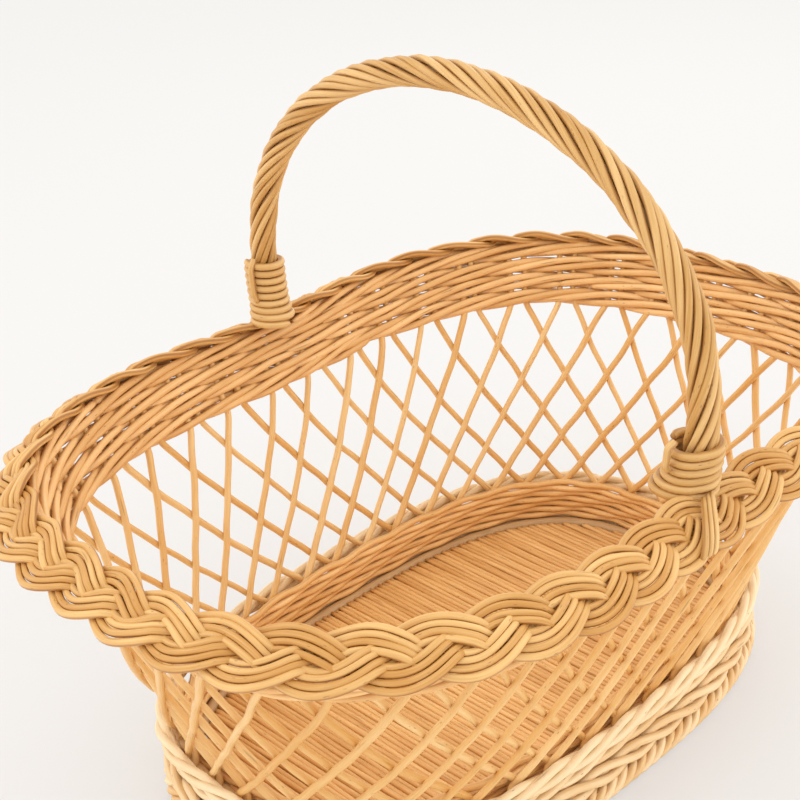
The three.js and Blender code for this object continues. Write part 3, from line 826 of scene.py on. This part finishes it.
def foot():
    border = Bundle()
    low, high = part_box("foot_border")
    middle = high[0] - ROLL_INSET - FOOT_HALF_LENGTH
    twisted_ring(border, (high[2] - low[2]) / 2 + ROLL_RISE, middle, **ROLL)
    border.make("rolled_foot_border", foot_willow, "pale_straw", "foot_border")

    wale = Bundle()
    low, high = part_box("foot_wale")
    out = (high[0] - FOOT_HALF_LENGTH) - WALE_INSET
    twisted_ring(wale, (low[2] + high[2]) / 2 + WALE_RISE, out, **WALE)
    wale.make("pale_wale", pale_willow, "pale_straw", "foot_wale")

    # Two rows twisted opposite ways make the herringbone, with plain rows behind them
    band = Bundle()
    low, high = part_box("foot_band")
    bottom, top = low[2] - FOOT_WALE_BELOW, high[2] + FOOT_WALE_ABOVE
    flare = high[0] - FOOT_HALF_LENGTH
    half = (top - bottom) / 4
    for row, hand in ((0, -1), (1, 1)):
        out = flare - FOOT_WALE_INSET - FOOT_WALE_STEP * row
        twisted_ring(band, bottom + half * (2 * row + 1), out, hand=hand, **FOOT_WALE)
    stacked_rows(band, low[2], high[2], **FOOT_ROWS)
    band.make("woven_foot", foot_willow, "straw", "foot_band")

    upsett = Bundle()
    low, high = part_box("upsett_band")
    stacked_rows(upsett, low[2], high[2] + UPSETT_ABOVE, **UPSETT_ROWS)
    upsett.make("inner_wale", inside_willow, "honey", "upsett_band")


# Base

def base_hoop():
    hoop = Bundle()
    low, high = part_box("base_hoop")
    unit = np.arange(UNITS * HOOP_POINTS) / HOOP_POINTS
    out = high[0] - FOOT_HALF_LENGTH - HOOP_RADIUS
    spot, way = on_foot(unit, (low[2] + high[2]) / 2, out)
    hoop.rod(spot, way, HOOP_RADIUS, sides=12, closed=True)
    hoop.make("oval_hoop", frame_willow, "shade", "base_hoop")


def base_floor():
    """Rods laid across the oval, over one stick and under the next."""
    floor = Bundle()
    low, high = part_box("base_mat")
    half_length, half_width = high[0], high[1]
    spacing = STICK_Y[1] - STICK_Y[0]
    pitch = 2 * half_length / FLOOR_RODS
    for k in range(FLOOR_RODS):
        x = half_length - pitch * (k + 0.5)
        reach = half_width * (1 - abs(x / half_length) ** OVAL_POWER) ** (1 / OVAL_POWER)
        y = np.linspace(-reach, reach, FLOOR_POINTS)
        side = 1 if k % 2 else -1
        z = (low[2] + high[2]) / 2 + side * FLOOR_SWING * np.cos(np.pi * y / spacing)
        path = np.stack([x + wander(FLOOR_POINTS, FLOOR_DRIFT), y, z], -1)
        size = pitch / 2 * (FLOOR_ROD_FIT + FLOOR_ROD_SPREAD * rng.normal())
        floor.rod(path, (0, 0, 1), size, flat=FLOOR_ROD_FLAT)
    floor.make("woven_floor", floor_willow, "honey", "base_mat")


def base_sticks():
    for k in (1, 2, 3):
        low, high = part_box(f"base_stick_{k}")
        stick = Bundle()
        x = np.linspace(low[0], high[0], STICK_POINTS)
        y = (low[1] + high[1]) / 2 + wander(STICK_POINTS, STICK_DRIFT)
        z = np.full(STICK_POINTS, (low[2] + high[2]) / 2)
        stick.rod(np.stack([x, y, z], -1), (0, 0, 1), (high[2] - low[2]) / 2, sides=10)
        stick.make(f"floor_stick_{k}", frame_willow, "shade", f"base_stick_{k}")


# Handle

def bow_foot(up):
    spot = on_wall(FAR_UNIT, 1.0, -BOW_INSIDE, up)
    spot[..., 0] = FOOT_SHIFT
    return spot


ROPE_START = bow_foot(BORDER_THICKNESS) - np.array([FOOT_SHIFT, 0, 0])


def arch(t):
    """Arch from the far leg, t = 0, over the top, t = 0.5, to the near leg, t = 1."""
    s = np.where(t <= 0.5, 2 * t, 2 - 2 * t)
    corners = (ROPE_START, ROPE_START + np.array([0, LEG_SPLAY, LEG_HEIGHT]),
               np.array([0, TOP_HALF_WIDTH, HANDLE_TOP]), np.array([0, 0, HANDLE_TOP]))
    p = curve(corners, s)
    p[..., 0] += FOOT_SHIFT * (1 - s) ** 3
    p[..., 1] *= np.where(t <= 0.5, 1, -1)
    return p


def even_arch(count):
    """Points at even distances along the arch, and their distances."""
    fine = arch(np.linspace(0, 1, ARCH_POINTS))
    run = run_along(fine)
    distance = np.linspace(0, run[-1], count)
    return points_at(fine, run, distance), distance


def around(path, angle, radius):
    """Points round a path in the plane of the handle."""
    tangent = unit_vector(np.gradient(path, axis=0))
    side = np.broadcast_to(np.array([1.0, 0, 0]), path.shape)
    lift = np.cross(tangent, side)
    out = side * np.cos(angle)[:, None] + lift * np.sin(angle)[:, None]
    return path + out * np.asarray(radius)[..., None], out


def handle():
    bow = Bundle()
    tail = bow_foot(np.linspace(TAIL_LOW, TAIL_HIGH * BORDER_THICKNESS, TAIL_POINTS))
    path, _ = even_arch(BOW_POINTS)
    near_tail = tail[::-1] * np.array([1, -1, 1])
    whole = np.concatenate([tail, path, near_tail])
    bow.rod(whole, (1, 0, 0), BOW_RADIUS * BOW_FIT, sides=12)
    bow.make("bow", frame_willow, "shade", "handle_bow")

    path, run = even_arch(ROPE_POINTS)
    in_group = ROPE_RODS // ROPE_GROUPS
    for group in range(ROPE_GROUPS):
        bundle = Bundle()
        for k in range(group * in_group, (group + 1) * in_group):
            start = 2 * np.pi * k / ROPE_RODS + ROPE_SHIFT * rng.normal()
            angle = start + 2 * np.pi * run / ROPE_LAY + wander(ROPE_POINTS, ROPE_DRIFT_ROUND)
            radius = BOW_RADIUS + ROPE_ROD / 2 - ROPE_SINK + wander(ROPE_POINTS, ROPE_DRIFT_OUT)
            line, out = around(path, angle, radius)
            bundle.rod(line, out, ROPE_ROD / 2 * (ROPE_ROD_FIT + ROPE_ROD_SPREAD * rng.normal()))
        bundle.make(f"rope_{group + 1}", rope_willow, "straw", f"handle_rope_{group + 1}")


def leg_line(near):
    """Middle of the handle's leg and distances along it, counted from the top of the border."""
    low_count, arch_count = LEG_LINE_POINTS
    low = bow_foot(np.linspace(LEG_LINE_LOW, BORDER_THICKNESS, low_count, endpoint=False))
    path, _ = even_arch(arch_count)
    line = np.concatenate([low, path])
    run = run_along(line)
    return line * np.array([1, -1 if near else 1, 1]), run - run[low_count]


def lashing(name, node, near, start, turns, bulge):
    """Rod wound round the handle's leg. Its turns bulge to the inside, the lowest ones most."""
    bundle = Bundle()
    line, run = leg_line(near)
    inner = 1 if near else -1
    t = np.arange(int(turns * LASH_POINTS)) / LASH_POINTS
    height = start + LASH_ROD * (0.5 + LASH_PITCH * t)
    angle = 2 * np.pi * t + math.pi / 2
    side = np.cos(angle)
    fore = np.sin(angle) * inner
    low = smooth_step(-t, -LASH_LOW_TURNS, 0)
    inside = np.clip((inner * fore - side) / math.sqrt(2), 0, 1)
    outside = np.clip((side - inner * fore) / math.sqrt(2), 0, 1)
    radius = (BOW_RADIUS + ROPE_ROD + LASH_ROD / 2 - LASH_SINK
              + bulge * inside * (1 + LASH_LOW_BULGE * low) + LASH_FLARE * low)
    sag = LASH_SAG * outside * smooth_step(-t, -LASH_SAG_TURNS, 0)
    shift = np.stack([radius * side, radius * fore, MM * (LASH_RISE * inside * low - sag)], -1)
    out = np.stack([side, fore, 0 * side], -1)
    bundle.rod(points_at(line, run, height) + shift, out, LASH_ROD / 2)

    # Its last end comes up beside the turns and is tucked in at both ends
    climb = np.linspace(0, 1, UPRIGHT_POINTS)
    tuck = (UPRIGHT_TOP_TUCK * smooth_step(climb, *UPRIGHT_TOP)
            + UPRIGHT_LOW_TUCK * smooth_step(-climb, -UPRIGHT_LOW, 0))
    outset = radius[-1] + LASH_ROD * (UPRIGHT_OUTSET - tuck) + UPRIGHT_BULGE * bulge
    ends = [height[0] + UPRIGHT_ENDS[0] * LASH_ROD, height[-1] + UPRIGHT_ENDS[1] * LASH_ROD]
    spot = points_at(line, run, np.interp(climb, [0, 1], ends))
    way = unit_vector(np.array([UPRIGHT_WAY[0], inner * UPRIGHT_WAY[1], 0]))
    bundle.rod(spot + way * outset[:, None], way, LASH_ROD * UPRIGHT_RADIUS)
    bundle.make(name, rope_willow, "straw", node)


def rod_ends():
    """Ends of the lashing rods, laid straight over the border and cut off at its outer edge."""
    bundle = Bundle()
    t = np.linspace(0, 1, ROD_END_POINTS)
    for k in (-1, 0, 1):
        corners = np.array(ROD_END_CORNERS)
        corners[-1, 0] += ROD_END_UNEVEN * k
        across, up = curve(corners, t).T * MM
        unit = ROD_END_UNIT - ROD_END_SLANT * (across - across[0]) / (across[-1] - across[0])
        _, along, up_way, out_way = wall_frame(unit, 1.0)
        line = on_wall(unit, 1.0, PLAIT_OUTSET + across, PLAIT_HEIGHT + up)
        line = line + along * (k * (ROD_END_SPACING + ROD_END_FAN * t[:, None]) * MM)
        bundle.rod(line, out_way + up_way, ROD_END_RADIUS)
    bundle.make("cut_rod_ends", rope_willow, "pale_straw", "rod_ends")


# Studio

def camera():
    az, el, roll = (math.radians(v) for v in (CAMERA_AZIMUTH, CAMERA_ELEVATION, CAMERA_ROLL))
    forward = Vector((-math.sin(az) * math.cos(el), math.cos(az) * math.cos(el), -math.sin(el)))
    right = forward.cross(Vector((0, 0, 1))).normalized()
    up = right.cross(forward)
    rolled_right = right * math.cos(roll) + up * math.sin(roll)
    rolled_up = -right * math.sin(roll) + up * math.cos(roll)
    turn = Matrix((rolled_right, rolled_up, -forward)).transposed()
    data = bpy.data.cameras.new("photo camera")
    data.sensor_width = SENSOR_WIDTH
    data.lens = FOCAL_PIXELS * data.sensor_width / FRAME_PIXELS
    data.shift_x = -AXIS_OFFSET[0] / FRAME_PIXELS
    data.shift_y = AXIS_OFFSET[1] / FRAME_PIXELS
    data.clip_start = CLIP_START
    camera_object = bpy.data.objects.new("photo camera", data)
    bpy.context.collection.objects.link(camera_object)
    camera_object.matrix_world = Matrix.Translation(Vector(CAMERA_PLACE) * MM) @ turn.to_4x4()
    bpy.context.scene.camera = camera_object


def area_light(name, place, size, power, colour):
    """Round lamp that faces the middle of the basket's foot."""
    data = bpy.data.lights.new(name, "AREA")
    data.shape = "DISK"
    data.size = size
    data.energy = power
    data.color = colour
    lamp = bpy.data.objects.new(name, data)
    bpy.context.collection.objects.link(lamp)
    lamp.location = place
    lamp.rotation_euler = (-Vector(place)).to_track_quat("-Z", "Y").to_euler()


def floor_material():
    """Plain surface that takes soft shadows."""
    material = bpy.data.materials.new("pale floor")
    material.use_nodes = True
    tree = material.node_tree
    shader = tree.nodes["Principled BSDF"]
    path = tree.nodes.new("ShaderNodeLightPath")
    colour = mix_colour(tree, path.outputs["Is Camera Ray"], (*FLOOR_LIT, 1), (*FLOOR_SEEN, 1))
    tree.links.new(colour, shader.inputs["Base Color"])
    glow = mix_colour(tree, path.outputs["Is Camera Ray"], (0.0, 0.0, 0.0, 1), (*FLOOR_GLOW, 1))
    tree.links.new(glow, shader.inputs["Emission Color"])
    shader.inputs["Emission Strength"].default_value = 1.0
    shader.inputs["Roughness"].default_value = FLOOR_ROUGHNESS
    return material


def world():
    """White background for the camera, a slightly stronger light for everything else."""
    scene_world = bpy.data.worlds.new("studio")
    bpy.context.scene.world = scene_world
    scene_world.use_nodes = True
    tree = scene_world.node_tree
    background = tree.nodes["Background"]
    path = tree.nodes.new("ShaderNodeLightPath")
    seen = path.outputs["Is Camera Ray"]
    for ray in ("Is Glossy Ray", "Is Transmission Ray"):
        seen = math_node(tree, "MAXIMUM", seen, path.outputs[ray])
    tree.links.new(mix_colour(tree, seen, SKY_LIGHT, SKY_SEEN), background.inputs["Color"])
    strength = map_range(tree, seen, 0, 1, SKY_LIGHT_STRENGTH, SKY_SEEN_STRENGTH)
    tree.links.new(strength, background.inputs["Strength"])


def studio():
    bpy.ops.mesh.primitive_plane_add(size=FLOOR_SIZE, location=(0, 0, FLOOR_DROP))
    floor = bpy.context.object
    floor.name = "studio_floor"
    floor.data.materials.append(floor_material())
    for lamp in LAMPS:
        area_light(*lamp)
    world()
    bpy.context.scene.view_settings.view_transform = "Standard"


side_rods()
upper_band()
plaited_border()
foot()
base_hoop()
base_floor()
base_sticks()
handle()
lashing("near_lashing", "lashing_near", near=True, start=-8.3 * MM, turns=6.1, bulge=3.2 * MM)
lashing("far_lashing", "lashing_far", near=False, start=-5.5 * MM, turns=8.37, bulge=1.2 * MM)
rod_ends()
camera()
studio()
